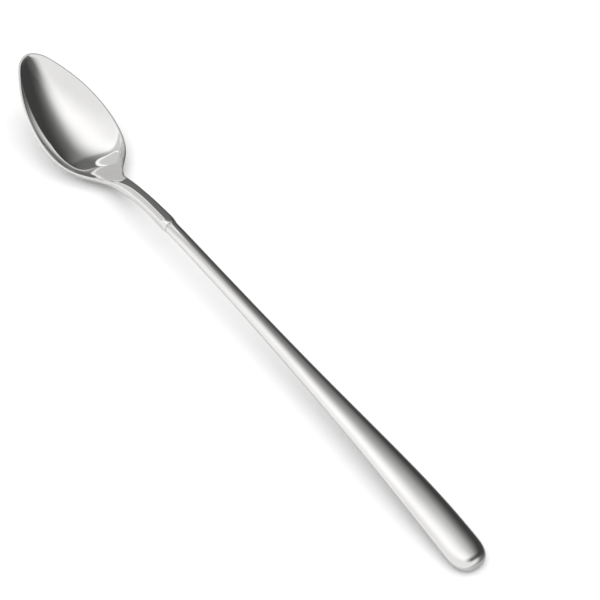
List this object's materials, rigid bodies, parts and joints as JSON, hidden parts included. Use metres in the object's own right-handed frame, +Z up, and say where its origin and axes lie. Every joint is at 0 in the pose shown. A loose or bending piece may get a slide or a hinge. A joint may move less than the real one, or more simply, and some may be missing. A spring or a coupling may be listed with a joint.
{
  "type": "iced tea spoon",
  "caption": "Long-handled iced tea spoon with a narrow oval bowl, a slim neck and a hollow handle that widens to a rounded end.",
  "frame": {"origin": "centre of the base of the bounding box, on the table that the spoon lies on", "axes": "+X along the spoon from the bowl's tip towards the handle's end, +Z up from the table"},
  "size_m": [0.23, 0.0252, 0.0192],
  "materials": {
    "bowl_steel": "mirror polished stainless steel",
    "handle_steel": "finely polished stainless steel with a soft lengthways grain",
    "braze": "polished silver braze, slightly darker than the steel"
  },
  "bodies": {
    "root": {"bowl": "bowl_steel", "handle_upper_shell": "handle_steel", "handle_lower_shell": "handle_steel", "neck_braze_ring": "braze"}
  },
  "joints": []
}
